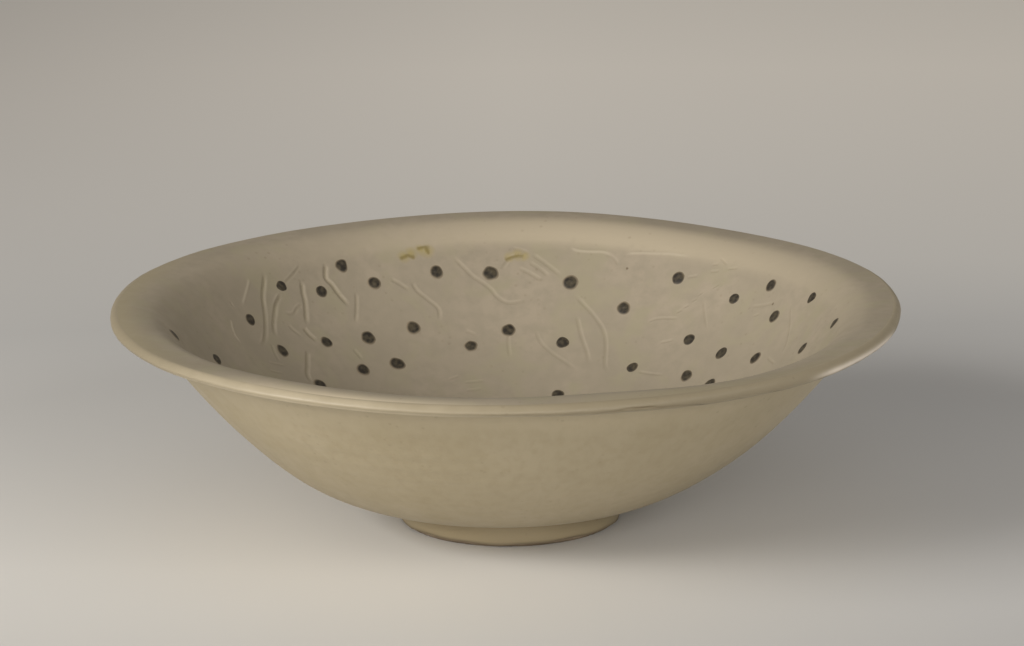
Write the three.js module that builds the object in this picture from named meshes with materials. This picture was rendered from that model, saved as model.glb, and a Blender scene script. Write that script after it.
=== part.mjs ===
// Shallow glazed bowl thrown on a wheel: a curved wall that flares to a rolled lip, a low foot
// ring under the floor, a glaze coat inside and another outside, and iron-brown spots inside.
// Millimetres, +Z up. The wheel's axis is the Z axis and the foot stands on Z = 0.
import * as THREE from 'three';
import { mergeVertices } from 'three/addons/utils/BufferGeometryUtils.js';

// Outside of the glazed bowl: rim, shoulder where the lip turns out, and belly over the foot.
const RIM_RADIUS = 140;
const BOWL_HEIGHT = 79.5;
const LIP_REACH = 18.5;
const LIP_DROP = 12.4;
const LIP_LEAN = 2;
const LIP_PULL = 9;
const SHOULDER_LEAN = 53.3;
const SHOULDER_PULL = 38.9;
const FLARE_PULL = 7;
const BELLY_HEIGHT = 10.2;
const BELLY_PULL = 29.6;

// Thickness of the glazed wall where it leaves the foot, at the shoulder and through the lip.
const FLOOR_THICKNESS = 6.5;
const SHOULDER_THICKNESS = 6;
const LIP_THICKNESS = 5;

// Foot ring.
const FOOT_RADIUS = 38.6;
const FOOT_WIDTH = 7.6;
const FOOT_BEVEL = 0.8;
const FOOT_FILLET = 1.75;

// Glaze coats, the bare edge left at the bottom of the foot, and the fit between neighbours.
const GLAZE_THICKNESS = 0.6;
const BARE_FOOT_EDGE = 1.2;
const FIT_GAP = 0.05;

// Iron spots: one dab of the brush each, lying on the inside glaze.
const SPOT_DIAMETER = 5.2;
const SPOT_TOP_DIAMETER = 3.6;
const SPOT_THICKNESS = 0.35;
const SPOT_SEAT_GAP = 0.3;

// Spot places: degrees round the wheel's axis from +X towards +Y, then millimetres down the
// inner wall from the lip. The first list is what the photograph shows on the far wall.
const FAR_WALL_SPOTS = [
  [188, 21.8], [173, 42.6], [150, 36.8], [137, 28.6], [128.5, 34.3], [122, 24.8], [116.5, 33.8],
  [147, 52.8], [133.5, 54.8], [143.5, 71.4], [128, 69.8], [122.5, 56], [118, 68.8], [111, 54.5],
  [103.5, 32], [93, 33.8], [98.5, 64], [89.5, 57.8], [77, 37.3], [76.5, 63.3], [74, 87.2],
  [64.5, 46.5], [55, 30.6], [56.5, 70.3], [45.5, 55.6], [39.5, 69.3], [30, 68.9], [34, 57],
  [40, 34.4], [22, 52.3], [32.5, 25.8], [26, 35.8], [6, 40.3], [18, 23.3], [-0.5, 23.8],
];
const NEAR_WALL_SPOTS = [
  [199, 33], [206, 56], [214, 26], [221, 70], [230, 42], [238, 60], [246, 28],
  [254, 74], [262, 46], [269, 31], [277, 64], [286, 50], [294, 27], [303, 71],
  [311, 43], [320, 58], [328, 30], [337, 66], [346, 45],
];

// Colours and gloss of the bare clay, the two coats and the iron pigment.
const CLAY = { color: 0xb3a58d, roughness: 0.9, metalness: 0 };
const INSIDE_CELADON = { color: 0xaea28a, roughness: 0.28, metalness: 0 };
const OUTSIDE_CELADON = { color: 0x998972, roughness: 0.3, metalness: 0 };
const IRON_BROWN = { color: 0x4a3b26, roughness: 0.35, metalness: 0 };

// Sampling of the round shapes, and how near two corners must be to count as one.
const SAME_CORNER = 1e-4;
const ROUND_SEGMENTS = 56;
const SPOT_SEGMENTS = 9;
const WALL_STEPS = 8;
const FLARE_STEPS = 4;
const LIP_ARC_STEPS = 6;
const FILLET_STEPS = 3;

// The lip's clay begins one flare step out from the shoulder underneath and two steps out on top,
// so the rolled edge laps under the wall.
const LIP_JOINT_BELOW = 1;
const LIP_JOINT_ABOVE = 2;

const at = (radius, height) => new THREE.Vector2(radius, height);
const along = (degrees) => {
  const angle = THREE.MathUtils.degToRad(degrees);
  return at(Math.cos(angle), Math.sin(angle));
};
const move = (point, direction, distance) => point.clone().addScaledVector(direction, distance);

// Section of the outside, from the foot up to the underside of the lip.
const clayDepth = GLAZE_THICKNESS + FIT_GAP;
const lipRadius = LIP_THICKNESS / 2;
const lipCentre = at(RIM_RADIUS - lipRadius, BOWL_HEIGHT - lipRadius);
const shoulder = at(RIM_RADIUS - LIP_REACH, BOWL_HEIGHT - LIP_DROP);
const bellyStart = at(FOOT_RADIUS + clayDepth + FOOT_FILLET, BELLY_HEIGHT);
const underLip = move(lipCentre, along(LIP_LEAN - 90), lipRadius);
const wallCurve = new THREE.CubicBezierCurve(
  bellyStart,
  move(bellyStart, along(0), BELLY_PULL),
  move(shoulder, along(SHOULDER_LEAN), -SHOULDER_PULL),
  shoulder,
);
const flareCurve = new THREE.CubicBezierCurve(
  shoulder,
  move(shoulder, along(SHOULDER_LEAN), FLARE_PULL),
  move(underLip, along(LIP_LEAN), -LIP_PULL),
  underLip,
);

// Stations along the section: a point on the outside, the way in through the wall, and how thick
// the glazed wall is there.
function stationsOn(curve, steps, firstThickness, lastThickness) {
  const stations = [];
  for (let step = 0; step <= steps; step += 1) {
    const share = step / steps;
    const run = curve.getTangent(share);
    stations.push({
      outside: curve.getPoint(share),
      run,
      inward: at(-run.y, run.x),
      thickness: THREE.MathUtils.lerp(firstThickness, lastThickness, share),
    });
  }
  return stations;
}
const wallStations = stationsOn(wallCurve, WALL_STEPS, FLOOR_THICKNESS, SHOULDER_THICKNESS);
const flareStations = stationsOn(flareCurve, FLARE_STEPS, SHOULDER_THICKNESS, LIP_THICKNESS);
const stations = [...wallStations, ...flareStations.slice(1)];
const underOutside = (station, depth) => move(station.outside, station.inward, depth);
const underInside = (station, depth) => underOutside(station, station.thickness - depth);

// Round end of the lip, from its underside over the edge to its top.
function lipArc(radius, lastAngle) {
  const firstAngle = LIP_LEAN - 90;
  const points = [];
  for (let step = 1; step <= LIP_ARC_STEPS; step += 1) {
    const angle = THREE.MathUtils.lerp(firstAngle, lastAngle, step / LIP_ARC_STEPS);
    points.push(move(lipCentre, along(angle), radius));
  }
  return points;
}
const lipTopAngle = LIP_LEAN + 90;
const coatSplitAngle = lipTopAngle - THREE.MathUtils.radToDeg(FIT_GAP / (lipRadius - GLAZE_THICKNESS));

const group = new THREE.Group();
group.name = 'spotted_bowl';

function addPiece(name, geometry, look) {
  geometry.deleteAttribute('normal');
  geometry.deleteAttribute('uv');
  const solid = mergeVertices(geometry, SAME_CORNER);
  solid.computeVertexNormals();
  const mesh = new THREE.Mesh(solid, new THREE.MeshStandardMaterial(look));
  mesh.name = name;
  group.add(mesh);
}

function turned(section, segments) {
  return new THREE.LatheGeometry(section, segments).rotateX(Math.PI / 2);
}

const closed = (section) => [...section, section[0].clone()];

// Clay wall and floor, up to the scarfed edge that the lip is rolled onto.
const clayUnderside = BELLY_HEIGHT + clayDepth;
const jointBelow = WALL_STEPS + LIP_JOINT_BELOW;
const jointAbove = WALL_STEPS + LIP_JOINT_ABOVE;
const bodyOutside = stations.slice(0, jointBelow + 1).map((station) => underOutside(station, clayDepth));
const bodyInside = stations.slice(0, jointAbove + 1).map((station) => underInside(station, clayDepth));
const floorTop = bodyInside[0].y;
const bodySection = [at(0, clayUnderside), ...bodyOutside, ...bodyInside.toReversed(), at(0, floorTop)];
addPiece('clay_body', turned(bodySection, ROUND_SEGMENTS), CLAY);

// Clay lip, rolled outward from the wall's edge.
const lipUnderside = stations.slice(jointBelow).map((station) => underOutside(station, clayDepth));
const lipTop = stations.slice(jointAbove).map((station) => underInside(station, clayDepth));
lipUnderside[0] = move(lipUnderside[0], stations[jointBelow].run, FIT_GAP);
lipTop[0] = move(lipTop[0], stations[jointAbove].run, FIT_GAP);
const lipEdge = lipArc(lipRadius - clayDepth, lipTopAngle).slice(0, -1);
const lipSection = [...lipUnderside, ...lipEdge, ...lipTop.toReversed()];
addPiece('rolled_lip', turned(closed(lipSection), ROUND_SEGMENTS), CLAY);

// Foot ring, luted under the floor, with its bottom edges bevelled by the turning tool.
const footTop = clayUnderside - FIT_GAP;
const footBore = FOOT_RADIUS - FOOT_WIDTH;
const footSection = [
  at(footBore + FOOT_BEVEL, 0),
  at(FOOT_RADIUS - FOOT_BEVEL, 0),
  at(FOOT_RADIUS, FOOT_BEVEL),
  at(FOOT_RADIUS, footTop),
  at(footBore, footTop),
  at(footBore, FOOT_BEVEL),
];
addPiece('foot_ring', turned(closed(footSection), ROUND_SEGMENTS), CLAY);

// Inside glaze, from the middle of the floor to the top of the lip.
const insideCoatBelow = stations.map((station) => underInside(station, GLAZE_THICKNESS));
const insideCoatTop = stations.map((station) => underInside(station, 0));
const insideSection = [
  at(0, insideCoatBelow[0].y),
  ...insideCoatBelow,
  ...insideCoatTop.toReversed(),
  at(0, insideCoatTop[0].y),
];
addPiece('inside_glaze', turned(insideSection, ROUND_SEGMENTS), INSIDE_CELADON);

// Outside glaze, from just above the foot's bottom edge, round the fillet, up the wall and over the
// lip's edge to where it meets the inside coat.
const footFilletCentre = at(bellyStart.x, BELLY_HEIGHT - FOOT_FILLET);
const footFillet = [];
for (let step = 0; step < FILLET_STEPS; step += 1) {
  const angle = THREE.MathUtils.lerp(180, 90, step / FILLET_STEPS);
  footFillet.push(move(footFilletCentre, along(angle), FOOT_FILLET));
}
const outsideCoatFace = stations.map((station) => underOutside(station, 0));
const outsideCoatBack = stations.map((station) => underOutside(station, GLAZE_THICKNESS));
const outsideSection = [
  at(FOOT_RADIUS + clayDepth, BARE_FOOT_EDGE),
  ...footFillet,
  ...outsideCoatFace,
  ...lipArc(lipRadius, coatSplitAngle),
  ...lipArc(lipRadius - GLAZE_THICKNESS, coatSplitAngle).toReversed(),
  ...outsideCoatBack.toReversed(),
  at(FOOT_RADIUS + FIT_GAP, clayUnderside - FIT_GAP),
  at(FOOT_RADIUS + FIT_GAP, BARE_FOOT_EDGE),
];
addPiece('outside_glaze', turned(closed(outsideSection), ROUND_SEGMENTS), OUTSIDE_CELADON);

// Place on the inside glaze a stated distance down the wall from the lip, with the way up off it.
function placeDownWall(distance) {
  let index = insideCoatTop.length - 1;
  let left = distance;
  let length = insideCoatTop[index].distanceTo(insideCoatTop[index - 1]);
  while (left > length && index > 1) {
    left -= length;
    index -= 1;
    length = insideCoatTop[index].distanceTo(insideCoatTop[index - 1]);
  }
  const run = insideCoatTop[index].clone().sub(insideCoatTop[index - 1]).normalize();
  return { point: move(insideCoatTop[index], run, -left), off: at(-run.y, run.x) };
}

// Iron spots, numbered round the far wall first and the near wall after it.
const spotSection = [
  at(0, 0),
  at(SPOT_DIAMETER / 2, 0),
  at(SPOT_TOP_DIAMETER / 2, SPOT_THICKNESS),
  at(0, SPOT_THICKNESS),
];
[...FAR_WALL_SPOTS, ...NEAR_WALL_SPOTS].forEach(([turn, down], index) => {
  const { point, off } = placeDownWall(down);
  const seat = move(point, off, SPOT_SEAT_GAP);
  const lean = Math.atan2(off.x, off.y);
  const spot = turned(spotSection, SPOT_SEGMENTS)
    .rotateY(lean)
    .translate(seat.x, 0, seat.y)
    .rotateZ(THREE.MathUtils.degToRad(turn));
  addPiece(`iron_spot_${String(index + 1).padStart(2, '0')}`, spot, IRON_BROWN);
});

export default group;
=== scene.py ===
import math

import bpy
import numpy as np
from mathutils import Matrix, Vector
from mathutils.geometry import delaunay_2d_cdt


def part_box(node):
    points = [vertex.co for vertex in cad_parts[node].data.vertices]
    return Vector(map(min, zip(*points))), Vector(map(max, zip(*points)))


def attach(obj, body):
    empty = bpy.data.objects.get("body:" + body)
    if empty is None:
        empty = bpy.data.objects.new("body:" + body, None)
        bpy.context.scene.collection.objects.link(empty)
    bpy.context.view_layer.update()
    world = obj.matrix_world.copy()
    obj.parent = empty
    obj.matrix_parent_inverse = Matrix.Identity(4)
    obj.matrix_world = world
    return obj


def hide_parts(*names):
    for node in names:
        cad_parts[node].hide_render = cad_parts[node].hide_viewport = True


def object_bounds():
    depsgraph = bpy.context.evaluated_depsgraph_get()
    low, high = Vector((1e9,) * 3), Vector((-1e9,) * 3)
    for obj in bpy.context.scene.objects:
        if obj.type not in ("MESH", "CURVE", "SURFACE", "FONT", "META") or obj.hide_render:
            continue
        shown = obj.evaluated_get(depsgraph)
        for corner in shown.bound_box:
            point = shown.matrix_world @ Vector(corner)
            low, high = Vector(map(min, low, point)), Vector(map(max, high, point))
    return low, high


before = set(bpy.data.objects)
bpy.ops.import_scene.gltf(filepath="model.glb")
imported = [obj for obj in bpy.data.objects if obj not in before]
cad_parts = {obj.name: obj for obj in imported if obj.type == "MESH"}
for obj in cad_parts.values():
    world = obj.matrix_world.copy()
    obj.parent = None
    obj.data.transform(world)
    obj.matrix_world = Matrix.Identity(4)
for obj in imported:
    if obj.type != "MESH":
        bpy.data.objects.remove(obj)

cad_low, cad_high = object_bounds()
scene = bpy.context.scene
scene.view_settings.view_transform = "Standard"

# The sheet that the bowl stands on: pale, matt, warm grey card, wide enough to run out of sight. It lies
# flat on the ground plane and takes the bowl's shadow. Its colour also carries painted light and shade: it
# steps from front to back, lightest round the bowl and at the back, with painted shade towards the far left
# and a painted shadow to the right of the bowl.
FLOOR_HALF_SIDE = 6.0
FLOOR_FRONT = (0.56, 0.546, 0.522)
FLOOR_NEAR = (0.69, 0.673, 0.646)
FLOOR_MIDDLE = (0.572, 0.563, 0.549)
FLOOR_BACK = (0.815, 0.773, 0.715)
FLOOR_LEFT_TINT = (0.67, 0.675, 0.69)
FLOOR_LEFT_FROM, FLOOR_LEFT_TO = 0.0, -0.35
FLOOR_LEFT_NEAR, FLOOR_LEFT_FAR = 0.0, 0.8
FLOOR_RIGHT_TINT = (0.85, 0.86, 0.885)
FLOOR_RIGHT_FROM, FLOOR_RIGHT_TO = -0.03, 0.17
FLOOR_RIGHT_FAR, FLOOR_RIGHT_NEAR = 0.38, 0.15
FLOOR_SHADES = ((-0.14, FLOOR_FRONT), (0.0, FLOOR_NEAR), (0.32, FLOOR_MIDDLE), (0.85, FLOOR_BACK),
                (1.6, FLOOR_BACK))
FLOOR_CLOUD_SCALE = 1.3
FLOOR_CLOUD_SHIFT = 0.12
CARD_ROUGHNESS, CARD_SPECULAR = 0.9, 0.1
SOFT_DETAIL, PLAIN_DETAIL = 2.0, 3.0


def add_node(tree, kind, **settings):
    made = tree.nodes.new(kind)
    for name, value in settings.items():
        setattr(made, name, value)
    return made


def new_finish(name):
    finish = bpy.data.materials.new(name)
    finish.use_nodes = True
    tree = finish.node_tree
    place = add_node(tree, "ShaderNodeTexCoord").outputs["Object"]
    return finish, tree, tree.nodes["Principled BSDF"], place


def noise(tree, place, scale, detail=PLAIN_DETAIL, distortion=0.0):
    made = add_node(tree, "ShaderNodeTexNoise")
    made.inputs["Scale"].default_value = scale
    made.inputs["Detail"].default_value = detail
    made.inputs["Distortion"].default_value = distortion
    tree.links.new(place, made.inputs["Vector"])
    return made.outputs["Fac"]


def ramp(tree, fac, *stops):
    made = add_node(tree, "ShaderNodeValToRGB")
    for _ in stops[2:]:
        made.color_ramp.elements.new(0.5)
    for element, (position, colour) in zip(made.color_ramp.elements, stops):
        element.position = position
        element.color = (*colour, 1)
    tree.links.new(fac, made.inputs["Fac"])
    return made.outputs["Color"]


def grade(tree, fac, from_low, from_high, to_low, to_high):
    made = add_node(tree, "ShaderNodeMapRange", clamp=True)
    for name, value in zip(("From Min", "From Max", "To Min", "To Max"),
                           (from_low, from_high, to_low, to_high)):
        made.inputs[name].default_value = value
    tree.links.new(fac, made.inputs["Value"])
    return made.outputs["Result"]


def blend_colours(tree, fac, first, second, how="MIX"):
    made = add_node(tree, "ShaderNodeMix", data_type="RGBA", blend_type=how)
    tree.links.new(fac, made.inputs["Factor"])
    for socket, colour in ((made.inputs[6], first), (made.inputs[7], second)):
        if isinstance(colour, tuple):
            socket.default_value = (*colour, 1)
        else:
            tree.links.new(colour, socket)
    return made.outputs[2]


def join_values(tree, how, first, second, clamped=False):
    made = add_node(tree, "ShaderNodeMath", operation=how, use_clamp=clamped)
    tree.links.new(first, made.inputs[0])
    tree.links.new(second, made.inputs[1])
    return made.outputs[0]


card, tree, shader, place = new_finish("pale_card")
cloud = noise(tree, place, FLOOR_CLOUD_SCALE, SOFT_DETAIL)
away = add_node(tree, "ShaderNodeSeparateXYZ")
tree.links.new(place, away.inputs["Vector"])
clouded = add_node(tree, "ShaderNodeMath", operation="MULTIPLY_ADD")
tree.links.new(cloud, clouded.inputs[0])
clouded.inputs[1].default_value = FLOOR_CLOUD_SHIFT
tree.links.new(away.outputs["Y"], clouded.inputs[2])
nearest, farthest = FLOOR_SHADES[0][0], FLOOR_SHADES[-1][0]
depth_share = grade(tree, clouded.outputs[0], nearest, farthest, 0, 1)
shades = [((way - nearest) / (farthest - nearest), colour) for way, colour in FLOOR_SHADES]
leftward = grade(tree, away.outputs["X"], FLOOR_LEFT_FROM, FLOOR_LEFT_TO, 0, 1)
backward = grade(tree, away.outputs["Y"], FLOOR_LEFT_NEAR, FLOOR_LEFT_FAR, 0, 1)
rightward = grade(tree, away.outputs["X"], FLOOR_RIGHT_FROM, FLOOR_RIGHT_TO, 0, 1)
forward = grade(tree, away.outputs["Y"], FLOOR_RIGHT_FAR, FLOOR_RIGHT_NEAR, 0, 1)
shaded = ramp(tree, depth_share, *shades)
# Painted shade towards the far left corner and a painted shadow to the right of the bowl darken the card.
for sideways, lengthways, tint in ((leftward, backward, FLOOR_LEFT_TINT),
                                   (rightward, forward, FLOOR_RIGHT_TINT)):
    corner = join_values(tree, "MULTIPLY", sideways, lengthways)
    shaded = blend_colours(tree, corner, shaded, tint, "MULTIPLY")
tree.links.new(shaded, shader.inputs["Base Color"])
shader.inputs["Roughness"].default_value = CARD_ROUGHNESS
shader.inputs["Specular IOR Level"].default_value = CARD_SPECULAR
floor_mesh = bpy.data.meshes.new("floor_card")
floor_mesh.from_pydata(
    [(x * FLOOR_HALF_SIDE, y * FLOOR_HALF_SIDE, 0) for x, y in ((-1, -1), (1, -1), (1, 1), (-1, 1))],
    [], [(0, 1, 2, 3)])
floor_mesh.materials.append(card)
floor_card = bpy.data.objects.new("floor_card", floor_mesh)
scene.collection.objects.link(floor_card)

# The light: a broad soft lamp on the left in front, a weaker one from the front, a faint one from
# the right, and an even pale sky that fills the shade, as in a small product studio.
LAMP_COLOUR = (1.0, 0.97, 0.92)
KEY_BEARING, KEY_HEIGHT, KEY_DISTANCE = 211, 27, 2.4
KEY_WIDE, KEY_TALL, KEY_WATTS = 1.4, 0.7, 46
FRONT_BEARING, FRONT_HEIGHT, FRONT_DISTANCE = 268, 16, 2.8
FRONT_WIDE, FRONT_TALL, FRONT_WATTS = 3.6, 0.7, 35
FILL_BEARING, FILL_HEIGHT, FILL_DISTANCE = 315, 30, 2.4
FILL_WIDE, FILL_TALL, FILL_WATTS = 2.4, 0.7, 15.5
SKY_COLOUR = (1.0, 0.965, 0.91)
SKY_STRENGTH = 0.26
SKY_SEEN = (0.38, 0.345, 0.295)


def soft_lamp(name, bearing, height, distance, wide, tall, watts):
    lamp = bpy.data.lights.new(name, "AREA")
    lamp.shape = "RECTANGLE"
    lamp.size, lamp.size_y = wide, tall
    lamp.energy = watts
    lamp.color = LAMP_COLOUR
    stand = bpy.data.objects.new(name, lamp)
    bearing, height = math.radians(bearing), math.radians(height)
    to_lamp = Vector((math.cos(bearing) * math.cos(height), math.sin(bearing) * math.cos(height),
                      math.sin(height)))
    stand.location = to_lamp * distance
    stand.rotation_mode = "QUATERNION"
    stand.rotation_quaternion = to_lamp.to_track_quat("Z", "Y")
    scene.collection.objects.link(stand)


soft_lamp("key_lamp", KEY_BEARING, KEY_HEIGHT, KEY_DISTANCE, KEY_WIDE, KEY_TALL, KEY_WATTS)
soft_lamp("front_lamp", FRONT_BEARING, FRONT_HEIGHT, FRONT_DISTANCE, FRONT_WIDE, FRONT_TALL,
          FRONT_WATTS)
soft_lamp("fill_lamp", FILL_BEARING, FILL_HEIGHT, FILL_DISTANCE, FILL_WIDE, FILL_TALL, FILL_WATTS)

scene.world = bpy.data.worlds.new("even_sky")
scene.world.use_nodes = True
sky = scene.world.node_tree
sky.nodes["Background"].inputs["Color"].default_value = (*SKY_COLOUR, 1)
sky.nodes["Background"].inputs["Strength"].default_value = SKY_STRENGTH
seen_sky = add_node(sky, "ShaderNodeBackground")
seen_sky.inputs["Color"].default_value = (*SKY_SEEN, 1)
ray_kind = add_node(sky, "ShaderNodeLightPath")
sky_mix = add_node(sky, "ShaderNodeMixShader")
sees_sky = ray_kind.outputs["Is Camera Ray"]
for kind in ("Is Glossy Ray", "Is Transmission Ray"):
    sees_sky = join_values(sky, "ADD", sees_sky, ray_kind.outputs[kind], clamped=True)
sky.links.new(sees_sky, sky_mix.inputs["Fac"])
sky.links.new(sky.nodes["Background"].outputs["Background"], sky_mix.inputs[1])
sky.links.new(seen_sky.outputs["Background"], sky_mix.inputs[2])
sky.links.new(sky_mix.outputs["Shader"], sky.nodes["World Output"].inputs["Surface"])

# The viewpoint: a long lens a little under two metres in front, looking down over the near lip
# onto the far inner wall.
IMAGE_WIDTH, IMAGE_HEIGHT = 1024, 646
VIEW_FROM = Vector((0.00227, -1.8, 0.5353))
VIEW_DOWN = 14.45
VIEW_ROLL = -0.552
FOCAL_PIXELS = 5231
SENSOR_WIDTH = 36
CLIP_NEAR, CLIP_FAR = 0.1, 50

viewer = bpy.data.cameras.new("viewer")
viewer.sensor_width = SENSOR_WIDTH
viewer.lens = FOCAL_PIXELS / IMAGE_WIDTH * SENSOR_WIDTH
viewer.clip_start, viewer.clip_end = CLIP_NEAR, CLIP_FAR
view_turn = Matrix.Rotation(math.radians(90 - VIEW_DOWN), 3, "X") @ Matrix.Rotation(
    math.radians(VIEW_ROLL), 3, "Z")
viewer_stand = bpy.data.objects.new("viewer", viewer)
viewer_stand.matrix_world = Matrix.Translation(VIEW_FROM) @ view_turn.to_4x4()
scene.collection.objects.link(viewer_stand)
scene.camera = viewer_stand

# The clay body: a thin wall and floor of grey-buff stoneware, thrown on a wheel and turned
# underneath when leather hard. Its sides are coated, so only the turned underside is left bare.
MM = 0.001
LIP_REACH = 18.5
LIP_DROP = 12.4
LIP_LEAN = 2
LIP_PULL = 9
SHOULDER_LEAN = 53.3
SHOULDER_PULL = 38.9
FLARE_PULL = 7
BELLY_HEIGHT = 10.2
BELLY_PULL = 29.6
FLOOR_THICKNESS = 6.5
SHOULDER_THICKNESS = 6
LIP_THICKNESS = 5
FOOT_FILLET = 1.75
FOOT_WIDTH = 7.6
GLAZE_THICKNESS = 0.6
FIT_GAP = 0.05
WALL_STEPS, FLARE_STEPS = 64, 28
JOINT_BELOW, JOINT_ABOVE = 7, 14
BODY_SEGMENTS = 144
RECESS_STEPS = 48
TURNING_PITCH = 3.1
TURNING_DEPTH = 0.32
NUB_HEIGHT, NUB_WIDTH = 0.9, 3.2
RIM_WAVES = ((50, 25, -1.0), (82, 20, 0.7), (125, 25, -0.4), (160, 25, 0.4), (225, 45, 0.8),
             (270, 30, 0.3), (315, 35, -1.0))
RIM_WAVE_FROM, RIM_WAVE_OVER = 40, 34
LIP_CROWN = ((211, 15, -1.6), (250, 16, -0.9), (286, 12, 0.8), (318, 14, -0.7))
LIP_CROWN_AT, LIP_CROWN_OVER = 131, 6
LIP_FALL, LIP_FALL_FROM, LIP_FALL_OVER = 1.1, 128.5, 9.5
LIP_FALL_START, LIP_FALL_END, LIP_FALL_RISE, LIP_FALL_FADE = 170, 312, 45, 50
BELLY_LEAN, BELLY_LEAN_AT, BELLY_LEAN_OVER = -1.0, 20, 11
FOOT_SHIFT, FOOT_SHIFT_OVER = 1.1, 8
CLAY_BUFF = (0.45, 0.38, 0.27)
CLAY_GREY = (0.36, 0.305, 0.22)
CLAY_FLECK = (0.14, 0.095, 0.055)
CLAY_PATCH_SCALE, CLAY_GREY_AT, CLAY_BUFF_AT = 60, 0.35, 0.65
FLECK_SCALE, FLECK_HEART, FLECK_EDGE, FLECK_SHARE = 420, 0.12, 0.2, 0.8
CLAY_SMOOTH, CLAY_ROUGH, CLAY_ROUGH_SCALE = 0.75, 0.95, 300
CLAY_GRAIN, CLAY_GRAIN_SCALE, GRAIN_RISE = 0.5, 900, 0.0002
ROUGH_LOW, ROUGH_HIGH = 0.3, 0.7
RICH_DETAIL = 4.0
SHARP_ANGLE = 40

rim_radius = cad_high.x / MM
bowl_height = cad_high.z / MM
foot_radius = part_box("foot_ring")[1].x / MM
clay_depth = GLAZE_THICKNESS + FIT_GAP


def toward(degrees):
    return np.array([math.cos(math.radians(degrees)), math.sin(math.radians(degrees))])


lip_radius = LIP_THICKNESS / 2
lip_centre = np.array([rim_radius - lip_radius, bowl_height - lip_radius])
shoulder = np.array([rim_radius - LIP_REACH, bowl_height - LIP_DROP])
belly_start = np.array([foot_radius + clay_depth + FOOT_FILLET, BELLY_HEIGHT])
under_lip = lip_centre + lip_radius * toward(LIP_LEAN - 90)


def bend(start, leave, arrive, end, steps):
    """Points of a bent section line and, at each, the way into the bowl."""
    share = np.linspace(0, 1, steps + 1)[:, None]
    rest = 1 - share
    line = (rest ** 3 * start + 3 * rest ** 2 * share * leave + 3 * rest * share ** 2 * arrive
            + share ** 3 * end)
    run = rest ** 2 * (leave - start) + 2 * rest * share * (arrive - leave) + share ** 2 * (end - arrive)
    run /= np.linalg.norm(run, axis=1)[:, None]
    return line, np.column_stack([-run[:, 1], run[:, 0]])


wall_line, wall_inward = bend(
    belly_start, belly_start + np.array([BELLY_PULL, 0]),
    shoulder - SHOULDER_PULL * toward(SHOULDER_LEAN), shoulder, WALL_STEPS)
flare_line, flare_inward = bend(
    shoulder, shoulder + FLARE_PULL * toward(SHOULDER_LEAN),
    under_lip - LIP_PULL * toward(LIP_LEAN), under_lip, FLARE_STEPS)
outer_line = np.vstack([wall_line, flare_line[1:]])
inward = np.vstack([wall_inward, flare_inward[1:]])
thickness = np.concatenate([np.linspace(FLOOR_THICKNESS, SHOULDER_THICKNESS, WALL_STEPS + 1),
                            np.linspace(SHOULDER_THICKNESS, LIP_THICKNESS, FLARE_STEPS + 1)[1:]])


def under_outside(depth):
    return outer_line + inward * depth


def under_inside(depth):
    return outer_line + inward * (thickness - depth)[:, None]


def eased(share):
    share = np.clip(share, 0, 1)
    return share * share * (3 - 2 * share)


def between(value, start, end, rise, fade):
    """1 between two limits, eased to 0 where it meets them."""
    return eased((value - start) / rise) * eased((end - value) / fade)


def hump(value, centre, spread):
    """A soft hump, 1 at its centre."""
    return np.exp(-((value - centre) / spread) ** 2)


def hand_shaped(points):
    """The slight waves of the rim and the lean of the belly and foot that throwing by hand left."""
    shaped = points.copy()
    angle = np.degrees(np.arctan2(points[:, 1], points[:, 0]))
    z = points[:, 2]
    near_rim = eased((z - RIM_WAVE_FROM) / RIM_WAVE_OVER)
    reach = np.hypot(points[:, 0], points[:, 1])
    on_crown = near_rim * hump(reach, LIP_CROWN_AT, LIP_CROWN_OVER)
    for waves, share in ((RIM_WAVES, near_rim), (LIP_CROWN, on_crown)):
        for place, spread, height in waves:
            apart = (angle - place + 180) % 360 - 180
            shaped[:, 2] += height * hump(apart, 0, spread) * share
    falls = between(angle % 360, LIP_FALL_START, LIP_FALL_END, LIP_FALL_RISE, LIP_FALL_FADE)
    past_crest = np.clip((reach - LIP_FALL_FROM) / LIP_FALL_OVER, 0, None)
    upper = eased((z - bowl_height + LIP_THICKNESS) / LIP_THICKNESS)
    shaped[:, 2] -= LIP_FALL * falls * past_crest ** 2 * upper
    shaped[:, 0] += BELLY_LEAN * hump(z, BELLY_LEAN_AT, BELLY_LEAN_OVER)
    shaped[:, 0] += FOOT_SHIFT * hump(z, 0, FOOT_SHIFT_OVER)
    return shaped


def turned(section, segments):
    """Points and faces of a section swept once round the axis, the last point joined to the first."""
    angles = np.arange(segments) * math.tau / segments
    points, rows = [], []
    for radius, height in section:
        count = 1 if radius < FIT_GAP else segments
        first = len(points)
        rows.append([first + (k if count > 1 else 0) for k in range(segments)])
        for angle in angles[:count]:
            points.append((radius * math.cos(angle), radius * math.sin(angle), height))
    faces = []
    for low, high in zip(rows, rows[1:] + rows[:1]):
        for k in range(segments):
            corners = dict.fromkeys((low[k], low[k - segments + 1], high[k - segments + 1], high[k]))
            if len(corners) > 2:
                faces.append(tuple(corners))
    return np.array(points), faces


def make_piece(name, points, faces, finish, slot, *nodes):
    mesh = bpy.data.meshes.new(name)
    mesh.from_pydata((points * MM).tolist(), [], faces)
    mesh.shade_smooth()
    mesh.set_sharp_from_angle(angle=math.radians(SHARP_ANGLE))
    mesh.materials.append(finish)
    piece = bpy.data.objects.new(name, mesh)
    scene.collection.objects.link(piece)
    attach(piece, "root")
    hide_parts(*nodes)
    return piece


def roughen(tree, shader, low, high, scale, place):
    roughness = grade(tree, noise(tree, place, scale), ROUGH_LOW, ROUGH_HIGH, low, high)
    tree.links.new(roughness, shader.inputs["Roughness"])
    return roughness


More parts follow.
